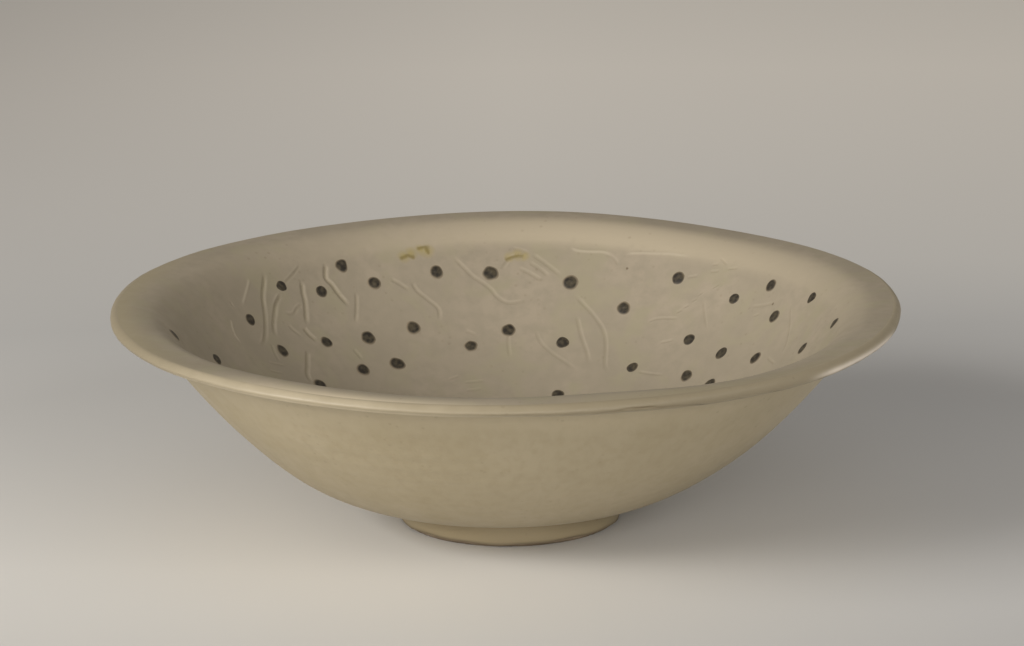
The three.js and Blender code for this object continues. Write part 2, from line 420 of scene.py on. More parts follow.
def raise_grain(tree, shader, fac, strength, distance):
    made = add_node(tree, "ShaderNodeBump")
    made.inputs["Strength"].default_value = strength
    made.inputs["Distance"].default_value = distance
    tree.links.new(fac, made.inputs["Height"])
    tree.links.new(made.outputs["Normal"], shader.inputs["Normal"])
    return made.inputs["Strength"]


def cell_distance(tree, place, scale):
    cells = add_node(tree, "ShaderNodeTexVoronoi")
    cells.inputs["Scale"].default_value = scale
    tree.links.new(place, cells.inputs["Vector"])
    return cells.outputs["Distance"]


def fire_clay(tree, shader, place, scale, dark, pale):
    """Patches of two fired colours and a rough, gritty skin."""
    roughen(tree, shader, CLAY_SMOOTH, CLAY_ROUGH, CLAY_ROUGH_SCALE, place)
    raise_grain(tree, shader, noise(tree, place, CLAY_GRAIN_SCALE), CLAY_GRAIN, GRAIN_RISE)
    return ramp(tree, noise(tree, place, scale, RICH_DETAIL), (CLAY_GREY_AT, dark), (CLAY_BUFF_AT, pale))


bare_clay, tree, shader, place = new_finish("bare_stoneware")
patches = fire_clay(tree, shader, place, CLAY_PATCH_SCALE, CLAY_GREY, CLAY_BUFF)
flecks = grade(tree, cell_distance(tree, place, FLECK_SCALE), FLECK_HEART, FLECK_EDGE, FLECK_SHARE, 0)
tree.links.new(blend_colours(tree, flecks, patches, CLAY_FLECK), shader.inputs["Base Color"])

clay_underside = BELLY_HEIGHT + clay_depth
recess_radius = foot_radius - FOOT_WIDTH
recess = np.linspace(0, recess_radius, RECESS_STEPS + 1)
turning = TURNING_DEPTH * (1 - np.cos(math.tau * recess / TURNING_PITCH)) / 2
turning *= eased((recess_radius - recess) / TURNING_PITCH)
nub = NUB_HEIGHT * hump(recess, 0, NUB_WIDTH)
body_section = np.vstack([
    np.column_stack([recess, clay_underside + turning - nub]),
    under_outside(clay_depth)[:WALL_STEPS + JOINT_BELOW + 1],
    under_inside(clay_depth)[WALL_STEPS + JOINT_ABOVE::-1],
    [[0, under_inside(clay_depth)[0][1]]]])
body_points, body_faces = turned(body_section, BODY_SEGMENTS)
make_piece("thrown_body", hand_shaped(body_points), body_faces, bare_clay, "clay", "clay_body")

# The foot: a low ring of the same clay luted under the floor and turned true with a knife. The band that
# stands on the ground is wiped clean of glaze; its bare, gritty clay fired dark brown, a colour that also
# stands in for the contact shade at the ground.
FOOT_BEVEL = 0.8
FOOT_SEGMENTS = 192
FOOT_FACE_STEPS = 10
KNIFE_DEPTH, KNIFE_MARKS, KNIFE_SLANT, KNIFE_START = 0.14, 23, 2.1, 3
FOOT_WEAR = 0.16
FOOT_WEAR_WAVES = ((7, 1.0), (31, 2.3))
BURNT_PATCH_SCALE = 90
BURNT_BROWN = (0.15, 0.11, 0.07)
BURNT_BUFF = (0.24, 0.185, 0.125)

burnt_clay, tree, shader, place = new_finish("burnt_stoneware")
patches = fire_clay(tree, shader, place, BURNT_PATCH_SCALE, BURNT_BROWN, BURNT_BUFF)
tree.links.new(patches, shader.inputs["Base Color"])

foot_top = clay_underside - FIT_GAP
foot_bore = recess_radius
rise = np.linspace(FOOT_BEVEL, foot_top, FOOT_FACE_STEPS + 1)
sole = np.linspace(foot_bore + FOOT_BEVEL, foot_radius - FOOT_BEVEL, FOOT_FACE_STEPS + 1)
foot_section = np.vstack([
    np.column_stack([sole, np.zeros_like(sole)]),
    np.column_stack([np.full_like(rise, foot_radius), rise]),
    np.column_stack([np.full_like(rise, foot_bore), rise])[::-1]])
foot_points, foot_faces = turned(foot_section, FOOT_SEGMENTS)
foot_angle = np.arctan2(foot_points[:, 1], foot_points[:, 0])
foot_reach = np.hypot(foot_points[:, 0], foot_points[:, 1])
on_bore = foot_reach < foot_bore + FIT_GAP
foot_points[:, :2] *= (1 - on_bore * KNIFE_DEPTH / foot_bore * np.sin(
    KNIFE_MARKS * foot_angle + foot_points[:, 2] * KNIFE_SLANT) * eased(
        foot_points[:, 2] / KNIFE_START))[:, None]
wear = FOOT_WEAR * (foot_points[:, 2] < FOOT_BEVEL / 2)
for marks, slant in FOOT_WEAR_WAVES:
    wear = wear * np.sin(marks * foot_angle + slant * foot_reach) ** 2
foot_points[:, 2] += wear
make_piece("turned_foot", hand_shaped(foot_points), foot_faces, burnt_clay, "clay", "foot_ring")

# The lip: the top of the clay wall, turned outward and rolled over with a wet thumb into a
# soft bead. Both coats close over it.
LIP_ARC_STEPS = 32

lip_arc = np.linspace(LIP_LEAN - 90, LIP_LEAN + 90, LIP_ARC_STEPS + 1)


def lip_round(depth, angles):
    """The lip's rounded edge, some way under its surface."""
    return np.array([lip_centre + (lip_radius - depth) * toward(angle) for angle in angles])


lip_edge = lip_round(clay_depth, lip_arc)
lip_section = np.vstack([
    under_outside(clay_depth)[WALL_STEPS + JOINT_BELOW:-1],
    lip_edge[:-1],
    under_inside(clay_depth)[:WALL_STEPS + JOINT_ABOVE - 1:-1]])
lip_points, lip_faces = turned(lip_section, BODY_SEGMENTS)
make_piece("rolled_rim", hand_shaped(lip_points), lip_faces, bare_clay, "clay", "rolled_lip")

# The outside coat: olive-brown celadon, dipped, so it runs thin over the lip's edge and ends in an uneven
# line just above the ground. Faint throwing rings and a broken seam where the lip was rolled over show
# through it. Light and shade are painted into its colour: a paler highlight on the lip's front left and a
# pale line along its lower edge at the front right, paler fill under the lip and at the far right, and
# painted shade in the seam, on parts of the lip and near the foot.
COAT_SEGMENTS = 480
BARE_FOOT_EDGE = 1.2
FOOT_RISE_POINTS, FILLET_POINTS = 8, 7
BACK_LIP_STEP, BACK_WALL_FIRST, BACK_WALL_STEP, BACK_CORNER_RISE = 4, 4, 6, 0.2
COAT_EDGE_WAVE = 0.45
COAT_EDGE_WAVES = ((1, 5, 0.4), (0.6, 13, 1.7))
COAT_EDGE_FADES = ((5, 4), (4, 3))
RING_DEPTH, RING_TURN, RING_WANDER, RING_WANDER_TURN = 0.045, 1.05, 2.2, 0.11
RING_EVEN, RING_SWING, RING_SWING_COUNT, RING_SWING_TURN = 0.6, 0.4, 2, 0.06
WALL_FROM, WALL_FADE_LOW, WALL_FADE_HIGH = 12, 8, 10
WALL_DENTS = ((0.15, 3, 0.9, 0.03), (0.08, 7, 2.1, -0.07))
LIP_DENT, DENT_MARKS, DENT_START, DENT_SWAY, DENT_SLANT = 0.07, 17, 0.4, 5, 0.35
LIP_PUCKER, PUCKER_MARKS, PUCKER_WANDER, PUCKER_SWAY, PUCKER_SLANT = 0.045, 61, 2, 13, 0.9
PUCKER_BREAKS, PUCKER_START = 29, 1.1
LIP_SKIN_FADE = 2
SEAM_FROM, SEAM_TO, SEAM_FADE = 281, 330, 5
SEAM_DEPTH, SEAM_WIDTH = 0.4, 0.4
SEAM_ON_LIP, SEAM_CLIMB, SEAM_CLIMB_AT, SEAM_CLIMB_OVER = 1.0, 2.6, 289, 7
SEAM_GAPE = ((289, 2.2, 0.8), (298.5, 2.2, 0.85), (306, 1.4, 0.75), (310.5, 1.3, 0.85),
             (322, 1.6, 0.55))
SEAM_TRACE, SEAM_EVEN, SEAM_TONE = 0.5, 0.55, 1.1
SEAM_FLICKER = ((0.25, 71, 1.3, 17), (0.2, 163, 2, 31))
SEAM_WANDER = ((0.25, 43, 0), (0.2, 107, 0))
LIP_EDGE_FROM, LIP_EDGE_TO, LIP_EDGE_FADE = 316, 348, 8
LIP_EDGE_AT, LIP_EDGE_WIDTH = 3.1, 1.1
OUTSIDE_OLIVE = (0.375, 0.316, 0.205)
OUTSIDE_BUFF = (0.41, 0.349, 0.237)
OUTSIDE_BROWN = (0.322, 0.262, 0.163)
RUN_STRETCH = 0.35
OUTSIDE_CLOUD_SCALE, OUTSIDE_CLOUD_TWIST, OUTSIDE_OLIVE_AT, OUTSIDE_BUFF_AT = 32, 0.4, 0.3, 0.7
OUTSIDE_FINE_SCALE, OUTSIDE_FINE_LOW, OUTSIDE_FINE_HIGH, OUTSIDE_FINE_SHARE = 300, 0.42, 0.75, 0.4
OUTSIDE_SMOOTH, OUTSIDE_ROUGH, OUTSIDE_ROUGH_SCALE = 0.42, 0.58, 90
OUTSIDE_SPECULAR = 0.4
GLAZE_IOR = 1.5
GLAZE_GRAIN, GLAZE_GRAIN_SCALE = 0.25, 420
FOOT_BROWN = (0.335, 0.273, 0.168)
FOOT_EDGE_DARK = (0.11, 0.082, 0.05)
FOOT_EDGE_RISE, FOOT_EDGE_SHARE = 1.3, 0.85
FOOT_TONE_TOP, FOOT_TONE_FADE = 14, 6
LIP_THIN_FROM, LIP_THIN_OVER = 2, 3
LIP_EDGE_PALE = (0.73, 0.65, 0.55)
SEAM_DARK = (0.15, 0.112, 0.06)
LIP_BUFF = (0.335, 0.284, 0.196)
LIP_OLIVE = (0.235, 0.197, 0.13)
LIP_OLIVE_SHARES = ((0, 0.5), (150, 0.5), (206, 0.85), (219, 0.45), (232, 0.1), (250, 0.25),
                    (266, 0.7), (278, 0.95), (290, 1.0), (300, 0.9), (315, 0.6), (360, 0.5))
LIP_GLOSS_AT, LIP_GLOSS_OVER = 240, 27
LIP_CREAM = (0.5, 0.43, 0.315)
LIP_CREAM_SHARE = 0.3
LIP_BROKEN_SCALE, LIP_BROKEN_LOW, LIP_BROKEN_HIGH, LIP_BROKEN_LEAST = 110, 0.38, 0.6, 0.4
LIP_SHINE, LIP_SHINE_AT, LIP_SHINE_OVER = 0.42, 6.3, 2.4
LIP_GRAIN_STRENGTH = 0.5
UNDER_LIP_PALE = (0.58, 0.5, 0.352)
UNDER_LIP_SHARE, UNDER_LIP_TOP, UNDER_LIP_FOOT = 0.42, -3, 30
UNDER_LIP_RISE, UNDER_LIP_FALL = 2.5, 18
UNDER_LIP_FROM, UNDER_LIP_TO, UNDER_LIP_START, UNDER_LIP_END = 190, 355, 35, 20
UNDER_BEAD_SHARE, UNDER_BEAD_AT, UNDER_BEAD_OVER = 0.85, 1.6, 1.1
RIGHT_PALE_SHARE, RIGHT_PALE_AT, RIGHT_PALE_OVER = 0.9, 346, 18
RIGHT_PALE_FOOT, RIGHT_PALE_FALL = 64, 30
PIN_BROWN = (0.16, 0.12, 0.07)
PIN_SCALE, PIN_SIZE, PIN_STRENGTH = 260, 0.1, 0.25
PIN_PATCH_SCALE, PIN_PATCH_LOW, PIN_PATCH_HIGH = 40, 0.45, 0.7

coat_foot = foot_radius + clay_depth
foot_rise = np.linspace(BARE_FOOT_EDGE, BELLY_HEIGHT - FOOT_FILLET, FOOT_RISE_POINTS)
fillet = np.array([belly_start + FOOT_FILLET * (toward(angle) - np.array([0, 1]))
                   for angle in np.linspace(180, 90, FILLET_POINTS)])
lip_face = lip_round(0, lip_arc)
coat_face = np.vstack([
    np.column_stack([np.full_like(foot_rise, coat_foot), foot_rise])[:-1],
    fillet[:-1], outer_line[:-1], lip_face])
lip_back = lip_round(GLAZE_THICKNESS, lip_arc[::BACK_LIP_STEP])
back_foot = foot_radius + FIT_GAP
coat_back = np.vstack([
    [[back_foot, BARE_FOOT_EDGE], [back_foot, BELLY_HEIGHT + BACK_CORNER_RISE]],
    under_outside(GLAZE_THICKNESS)[BACK_WALL_FIRST::BACK_WALL_STEP], lip_back])
coat_section = np.vstack([coat_face, coat_back[::-1]])
coat_points, coat_faces = turned(coat_section, COAT_SEGMENTS)


def run_lengths(points):
    """How far along a line each of its points lies."""
    return np.concatenate([[0], np.cumsum(np.linalg.norm(np.diff(points, axis=0), axis=1))])


face_run = np.gradient(coat_face, axis=0)
face_run /= np.linalg.norm(face_run, axis=1)[:, None]
face_out = np.column_stack([face_run[:, 1], -face_run[:, 0]])
face_length = run_lengths(coat_face)
lip_start = len(coat_face) - len(lip_face)
below_lip = (face_length[lip_start] - face_length)[:, None]
around = (np.arange(COAT_SEGMENTS) * math.tau / COAT_SEGMENTS)[None, :]
bearings_round = np.degrees(around)
height_along = coat_face[:, 1][:, None]
way_along = face_length[:, None]


def waves_round(angle, waves):
    """Waves round the axis, each given by its size, its count and where it starts."""
    return sum(size * np.sin(count * angle + start) for size, count, start in waves)


def wandering(way, turn, wander, wander_turn):
    """A wave whose spacing wanders, as that of marks left by a hand does."""
    return np.sin(way * turn + wander * np.sin(way * wander_turn))


ring_wave = wandering(way_along, RING_TURN, RING_WANDER, RING_WANDER_TURN)
ring_swing = RING_EVEN + RING_SWING * np.sin(RING_SWING_COUNT * around + way_along * RING_SWING_TURN)
on_wall = eased((height_along - WALL_FROM) / WALL_FADE_LOW) * eased(below_lip / WALL_FADE_HIGH)
relief = RING_DEPTH * ring_wave * ring_swing * on_wall
for size, count, start, slant in WALL_DENTS:
    relief += size * np.sin(count * around + start + height_along * slant) * on_wall

up_lip = -below_lip
on_lip = between(up_lip, -LIP_SKIN_FADE, up_lip[-1], LIP_SKIN_FADE, LIP_SKIN_FADE)
relief += LIP_DENT * on_lip * np.sin(
    DENT_MARKS * around + DENT_START + np.sin(DENT_SWAY * around) + up_lip * DENT_SLANT)
relief += LIP_PUCKER * on_lip * np.sin(PUCKER_BREAKS * around + PUCKER_START) * np.sin(
    PUCKER_MARKS * around + PUCKER_WANDER * np.sin(PUCKER_SWAY * around) - up_lip * PUCKER_SLANT)

seam_gape = SEAM_EVEN
for size, turn, wander, wander_turn in SEAM_FLICKER:
    seam_gape = seam_gape + size * wandering(around, turn, wander, wander_turn)
seam_gape = SEAM_TRACE * seam_gape
for bearing, spread, depth in SEAM_GAPE:
    seam_gape = np.maximum(seam_gape, depth * hump(bearings_round, bearing, spread))
seam_climb = SEAM_CLIMB * hump(bearings_round, SEAM_CLIMB_AT, SEAM_CLIMB_OVER)
seam_place = SEAM_ON_LIP + seam_climb + waves_round(around, SEAM_WANDER)
seam_reach = between(bearings_round, SEAM_FROM, SEAM_TO, SEAM_FADE, SEAM_FADE)
seam = hump(up_lip, seam_place, SEAM_WIDTH) * seam_reach * seam_gape
relief -= SEAM_DEPTH * seam

edge_sway = COAT_EDGE_WAVE * waves_round(around, COAT_EDGE_WAVES) / sum(wave[0] for wave in COAT_EDGE_WAVES)
for top, fade in COAT_EDGE_FADES:
    edge_sway = edge_sway * eased((top - height_along) / fade)
face_count = len(coat_face) * COAT_SEGMENTS
face_points = coat_points[:face_count].reshape(len(coat_face), COAT_SEGMENTS, 3)
face_points[:, :, 0] += relief * face_out[:, 0][:, None] * np.cos(around)
face_points[:, :, 1] += relief * face_out[:, 0][:, None] * np.sin(around)
face_points[:, :, 2] += relief * face_out[:, 1][:, None] + edge_sway


def note(piece, **tones):
    """Write each tone on the first points of a piece; points that it does not reach get none."""
    for name, tone in tones.items():
        values = np.zeros(len(piece.data.vertices), np.float32)
        values[:tone.size] = tone.ravel()
        piece.data.attributes.new(name, "FLOAT", "POINT").data.foreach_set("value", values)


def noted(tree, name):
    return add_node(tree, "ShaderNodeAttribute", attribute_name=name).outputs["Fac"]


def blend_values(tree, fac, first, second):
    made = add_node(tree, "ShaderNodeMix", data_type="FLOAT")
    tree.links.new(fac, made.inputs["Factor"])
    tree.links.new(first, made.inputs[2])
    made.inputs[3].default_value = second
    return made.outputs[0]


def pinholes(tree, place):
    """Fine pits where bubbles broke in the firing, in loose patches."""
    holes = grade(tree, cell_distance(tree, place, PIN_SCALE), PIN_SIZE, 2 * PIN_SIZE, 1, 0)
    patches = grade(tree, noise(tree, place, PIN_PATCH_SCALE, SOFT_DETAIL), PIN_PATCH_LOW, PIN_PATCH_HIGH,
                    0, PIN_STRENGTH)
    return join_values(tree, "MULTIPLY", holes, patches)


outside_celadon, tree, shader, place = new_finish("outside_celadon")
drawn_out = add_node(tree, "ShaderNodeMapping")
drawn_out.inputs["Scale"].default_value = (1, 1, RUN_STRETCH)
tree.links.new(place, drawn_out.inputs["Vector"])
runs = drawn_out.outputs["Vector"]
clouds = noise(tree, runs, OUTSIDE_CLOUD_SCALE, PLAIN_DETAIL, OUTSIDE_CLOUD_TWIST)
broad = ramp(tree, clouds, (OUTSIDE_OLIVE_AT, OUTSIDE_OLIVE), (OUTSIDE_BUFF_AT, OUTSIDE_BUFF))
fine = grade(tree, noise(tree, runs, OUTSIDE_FINE_SCALE, RICH_DETAIL), OUTSIDE_FINE_LOW, OUTSIDE_FINE_HIGH,
             0, OUTSIDE_FINE_SHARE)
mottled = blend_colours(tree, fine, broad, OUTSIDE_BROWN)
creamed = blend_colours(tree, noted(tree, "thin_glaze"), mottled, LIP_BUFF)
lipped = blend_colours(tree, noted(tree, "lip_olive"), creamed, LIP_OLIVE)
# Painted highlight: where the key light glints on the lip's front left, the colour is blended paler and
# broken up by noise; the same mask lowers the roughness there.
broken = grade(tree, noise(tree, place, LIP_BROKEN_SCALE, SOFT_DETAIL), LIP_BROKEN_LOW, LIP_BROKEN_HIGH,
               LIP_BROKEN_LEAST, 1)
shine = join_values(tree, "MULTIPLY", noted(tree, "lip_shine"), broken)
shone = blend_colours(tree, grade(tree, shine, 0, 1, 0, LIP_CREAM_SHARE), lipped, LIP_CREAM)
# Painted light under the lip, on the bead's lower face and at the far right of the wall.
paled = blend_colours(tree, noted(tree, "under_lip"), shone, UNDER_LIP_PALE)
# Browner towards the foot: glaze gathered there, and painted shade under the wall's overhang.
footed = blend_colours(tree, noted(tree, "foot_glaze"), paled, FOOT_BROWN)
# The glaze just above the bare band is darkened: a browner glaze edge, and painted contact shade where it
# meets the ground.
burnt = blend_colours(tree, noted(tree, "foot_edge"), footed, FOOT_EDGE_DARK)
pitted = blend_colours(tree, pinholes(tree, place), burnt, PIN_BROWN)
# Painted shade: the seam under the lip is darkened where shade falls in its crease.
seamed = blend_colours(tree, noted(tree, "seam_glaze"), pitted, SEAM_DARK)
# Painted highlight: a pale line along the lip's lower edge at the front right.
edged = blend_colours(tree, noted(tree, "edge_glaze"), seamed, LIP_EDGE_PALE)
tree.links.new(edged, shader.inputs["Base Color"])
satin = roughen(tree, shader, OUTSIDE_SMOOTH, OUTSIDE_ROUGH, OUTSIDE_ROUGH_SCALE, place)
tree.links.new(blend_values(tree, shine, satin, LIP_SHINE), shader.inputs["Roughness"])
grain = raise_grain(tree, shader, noise(tree, place, GLAZE_GRAIN_SCALE), GLAZE_GRAIN, GRAIN_RISE)
tree.links.new(grade(tree, shine, 0, 1, GLAZE_GRAIN, LIP_GRAIN_STRENGTH), grain)
shader.inputs["IOR"].default_value = GLAZE_IOR
shader.inputs["Specular IOR Level"].default_value = OUTSIDE_SPECULAR

outer_coat = make_piece("outer_coat", hand_shaped(coat_points), coat_faces, outside_celadon,
                        "outside_celadon", "outside_glaze")
all_round = np.ones_like(around)
thin_share = eased((LIP_THIN_FROM - below_lip) / LIP_THIN_OVER)
# Darker olive glaze by bearing, set as painted shade at the lip's left end and front right, and kept pale
# where the lip catches the light.
olive_share = np.interp(bearings_round, *zip(*LIP_OLIVE_SHARES))
gloss_share = hump(bearings_round, LIP_GLOSS_AT, LIP_GLOSS_OVER)
# Painted light: paler under the lip on the front, on the lower face of the bead where the lip glints, and
# on the wall at the far right, lifting the shade there.
under_lip_tone = UNDER_LIP_SHARE * between(
    below_lip, UNDER_LIP_TOP, UNDER_LIP_FOOT, UNDER_LIP_RISE, UNDER_LIP_FALL) * between(
    bearings_round, UNDER_LIP_FROM, UNDER_LIP_TO, UNDER_LIP_START, UNDER_LIP_END)
under_bead_tone = UNDER_BEAD_SHARE * gloss_share * hump(up_lip, UNDER_BEAD_AT, UNDER_BEAD_OVER)
right_tone = RIGHT_PALE_SHARE * hump(bearings_round, RIGHT_PALE_AT, RIGHT_PALE_OVER) * between(
    below_lip, 0, RIGHT_PALE_FOOT, UNDER_LIP_RISE, RIGHT_PALE_FALL)
foot_edge_top = BARE_FOOT_EDGE + FOOT_EDGE_RISE
note(outer_coat,
     lip_shine=hump(up_lip, LIP_SHINE_AT, LIP_SHINE_OVER) * gloss_share,
     lip_olive=thin_share * olive_share,
     thin_glaze=thin_share * all_round,
     under_lip=under_lip_tone + under_bead_tone + right_tone,
     foot_glaze=eased((FOOT_TONE_TOP - height_along) / FOOT_TONE_FADE) * all_round,
     foot_edge=FOOT_EDGE_SHARE * eased((foot_edge_top - height_along) / FOOT_EDGE_RISE) * all_round,
     seam_glaze=np.clip(SEAM_TONE * seam, 0, 1),
     edge_glaze=hump(up_lip, LIP_EDGE_AT, LIP_EDGE_WIDTH) * between(
         bearings_round, LIP_EDGE_FROM, LIP_EDGE_TO, LIP_EDGE_FADE, LIP_EDGE_FADE))

# The inside coat: grey-buff celadon over the floor, the wall and the top of the lip. Leaf and flower sprays
# were cut freehand in the damp clay before it, and the coat lies thick and dark in the cuts. The far wall's
# cuts are traced as they are seen; the near wall repeats the same sprays. Light and shade are painted into
# its colour: pale highlights on the cuts' edges, a paler band under the rim and a paler lip top at the
# front left, a darker lip top on some bearings, and shade that varies from left to right.
BOLD_CUTS = {
    "left_stem": ((264, 272), (263, 284), (262, 297), (264, 312), (265, 328), (264, 340), (260, 348)),
    "left_leaf_back": ((281, 294), (276, 303), (274, 313), (273, 325), (275, 337)),
    "second_stem": ((301, 280), (302, 292), (304, 300), (305, 312), (306, 325)),
    "second_leaf_outer": ((303, 328), (309, 335), (317, 341)),
    "second_tail": ((307, 350), (307, 364), (307, 374), (311, 383)),
    "third_leaf_rib": ((325, 262), (325, 277), (331, 284), (340, 296), (350, 307)),
}
FIRM_CUTS = {
    "left_tip": ((300, 265), (291, 276), (284, 283)),
    "left_leaf_tail": ((271, 344), (275, 354), (279, 362)),
    "second_leaf_top": ((302, 304), (297, 308), (293, 314), (285, 314)),
    "second_leaf_low": ((288, 325), (294, 331), (301, 336)),
    "third_leaf_side": ((356, 292), (356, 309), (355, 323)),
    "third_tail": ((353, 349), (362, 359)),
    "middle_leaf_top": ((391, 279), (400, 284), (409, 290)),
    "middle_leaf_left": ((411, 281), (417, 291), (428, 300), (438, 309), (439, 321)),
    "middle_petal": ((452, 257), (464, 269), (472, 277), (484, 285), (491, 291), (496, 297),
                     (503, 302), (511, 304), (530, 301)),
    "flower_arc": ((502, 268), (508, 261), (515, 258), (526, 258)),
    "flower_side_high": ((532, 256), (545, 265), (561, 277)),
    "flower_side_mid": ((529, 264), (539, 270), (549, 278)),
    "flower_side_low": ((519, 270), (530, 275), (542, 282)),
    "right_leaf_outer": ((574, 295), (586, 308), (594, 317), (602, 329), (605, 341), (605, 355),
                         (605, 366), (610, 375)),
    "right_leaf_inner": ((576, 316), (581, 337), (586, 351), (589, 364)),
}
FAINT_CUTS = {
    "flower_top": ((512, 250), (521, 252), (529, 255)),
    "top_hook": ((605, 255), (613, 258), (618, 265)),
    "centre_stem": ((508, 334), (508, 346), (510, 357)),
    "centre_leaf": ((535, 330), (540, 342), (551, 353), (563, 361), (578, 371)),
    "centre_tick": ((465, 331), (476, 335)),
    "right_blade": ((790, 306), (789, 327), (786, 343), (780, 356)),
    "right_blade_tip": ((751, 306), (763, 305), (776, 302)),
    "right_faint": ((703, 300), (704, 314), (706, 328)),
}
COMBED_TICKS = {
    "comb_top_1": ((710, 270), (720, 269)),
    "comb_top_2": ((712, 263), (719, 262)),
    "comb_top_3": ((727, 267), (738, 266)),
    "comb_top_4": ((720, 256), (727, 263)),
    "comb_side_1": ((712, 287), (720, 282)),
    "comb_side_2": ((698, 294), (704, 290)),
    "comb_side_3": ((691, 301), (698, 297)),
    "comb_side_4": ((683, 307), (690, 304)),
    "comb_side_5": ((676, 312), (683, 309)),
    "comb_low_1": ((648, 322), (655, 319), (664, 318), (679, 318)),
    "comb_low_2": ((660, 343), (674, 340)),
    "comb_low_3": ((638, 372), (650, 374), (664, 375)),
    "comb_spot": ((687, 276), (698, 274)),
    "comb_left_1": ((450, 380), (461, 376)),
    "comb_left_2": ((466, 383), (486, 381)),
    "comb_left_3": ((468, 391), (484, 389)),
    "comb_foot_1": ((269, 363), (286, 366)),
    "comb_foot_2": ((270, 371), (284, 374)),
    "blade_tick_left": ((230, 302), (233, 308)),
    "blade_tick_right": ((753, 316), (760, 313)),
    "blade_tick_low": ((767, 358), (774, 364)),
}
RAISED_LINES = {
    "left_blade_edge": ((249, 279), (247, 288), (244, 299), (242, 306)),
    "left_blade_foot": ((231, 320), (233, 330), (236, 337), (242, 344)),
    "top_ridge": ((570, 248), (577, 251), (590, 252), (603, 252), (615, 255)),
    "top_ridge_far": ((625, 253), (640, 252), (656, 252), (672, 252), (692, 254)),
}
CUT_GROUPS = ((BOLD_CUTS, 0.3, 0.9), (FIRM_CUTS, 0.15, 0.72), (FAINT_CUTS, 0.1, 0.65),
              (COMBED_TICKS, 0.13, 0.55), (RAISED_LINES, -0.1, 0.8))
CUT_HALF_WIDTH = 0.9
CUT_FULL_DEPTH = 0.3
CUT_REACH, CUT_HOLLOW = 3, 1.5
CUT_TAPER_START, CUT_TAPER_END = 0.12, 0.2
CUT_BURR, CUT_BURR_FAR, BURR_AT, BURR_WIDTH = 0.3, 0.1, 1.35, 0.4
CUT_FILL_SHARE, CUT_EDGE_SHARE = 0.5, 0.55
OCHRE_CLOUDS = {
    "cloud_left": ((404, 256), 3.0), "cloud_left_tip": ((411, 253), 3.0),
    "cloud_bar": ((421, 250), 2.8), "cloud_drip": ((427, 251), 3.4),
    "cloud_arc_foot": ((510, 258), 2.6), "cloud_arc": ((517, 256), 3.0),
    "cloud_arc_tip": ((524, 257), 2.4),
}
OCHRE_STROKES = {
    "stroke_left": ((401.5, 258), (404.5, 256.5), (407.5, 255), (410, 255.8), (412.5, 257)),
    "stroke_bar": ((419, 249), (423, 248), (426.5, 247)),
    "stroke_drip": ((426.5, 247), (427.2, 250), (428, 254)),
    "stroke_arc": ((507, 260), (511, 258.3), (516, 257), (522, 256.5)),
}
STROKE_RADIUS, STROKE_STEP = 1.15, 1.5
BROWN_SPECKS = {"speck_middle": ((627, 268), 0.75), "speck_right": ((773, 303), 0.75)}
STAIN_RAGGED, STAIN_RAGGED_SCALE = 0.0018, 300
CLOUD_STRENGTH, STROKE_STRENGTH, SPECK_STRENGTH = 0.65, 0.75, 1.0
CLOUD_HEART, STROKE_HEART = 0.1, 0.2
SIGHT_NEAR, SIGHT_FAR, SIGHT_POINTS = 1.5, 2.3, 1601
STROKE_CURVE_STEPS, STROKE_LEAST_STEPS = 12, 4
CUT_STEP = 0.8
CUT_ROWS = (-2.1, -1.25, -0.85, -0.5, -0.2, 0.2, 0.5, 0.85, 1.25, 2.1)
CUT_CLEARANCE = 2.0
COAT_SPACING = 2.3
NEAR_WALL_FROM, NEAR_WALL_TO = 205, 335
INSIDE_BACK_STEP = 8
AXIS_REACH = 1
SAME_PLACE, FLAT_TOLERANCE = 0.18, 1e-6
INSIDE_RING_DEPTH, INSIDE_RING_TURN = 0.05, 0.9
INSIDE_RING_WANDER, INSIDE_RING_WANDER_TURN = 1.7, 0.13
INSIDE_DENTS = ((0.1, 3, 0.05), (0.07, 8, -0.09))
INSIDE_DENT_RIM, INSIDE_DENT_FLOOR = 12, 20
INSIDE_BUFF = (0.355, 0.301, 0.226)
INSIDE_GREY = (0.31, 0.267, 0.199)
INSIDE_OLIVE = (0.329, 0.29, 0.201)
INSIDE_CLOUD_SCALE, INSIDE_CLOUD_TWIST, INSIDE_GREY_AT, INSIDE_BUFF_AT = 30, 0.5, 0.33, 0.62
INSIDE_FINE_SCALE, INSIDE_FINE_DETAIL = 240, 5.0
INSIDE_FINE_LOW, INSIDE_FINE_HIGH, INSIDE_FINE_SHARE = 0.4, 0.68, 0.85
OLIVE_CLOUD_SCALE, OLIVE_CLOUD_TWIST = 75, 0.3
OLIVE_CLOUD_LOW, OLIVE_CLOUD_HIGH, OLIVE_CLOUD_SHARE = 0.5, 0.68, 0.8
INSIDE_SMOOTH, INSIDE_ROUGH, INSIDE_ROUGH_SCALE = 0.45, 0.6, 110
INSIDE_SPECULAR = 0.13
DEEP_TINT = (0.82, 0.82, 0.82)
DEEP_SHARES = ((-110, 0.8), (-80, 0.62), (-48, 0.6), (-30, 0.85), (-14, 1.0), (3, 0.9),
               (20, 0.85), (54, 0.75), (71, 0.55), (88, 0.25), (105, 0.15), (122, 0.3))
DEEP_RIM_SHARE, DEEP_RIM_FROM, DEEP_RIM_OVER = 0.75, 8, 20
INSIDE_OCHRE = (0.295, 0.235, 0.075)
OCHRE_DEEP = (0.165, 0.127, 0.045)
SPECK_BROWN = (0.10, 0.07, 0.04)
RIM_BAND = (0.385, 0.328, 0.24)
RIM_BAND_FROM, RIM_BAND_TO, RIM_BAND_FADE = 6, 25, 6
RIM_BAND_LEAST, RIM_BAND_AT, RIM_BAND_LEFT, RIM_BAND_RIGHT = 0.15, 72, 42, 75
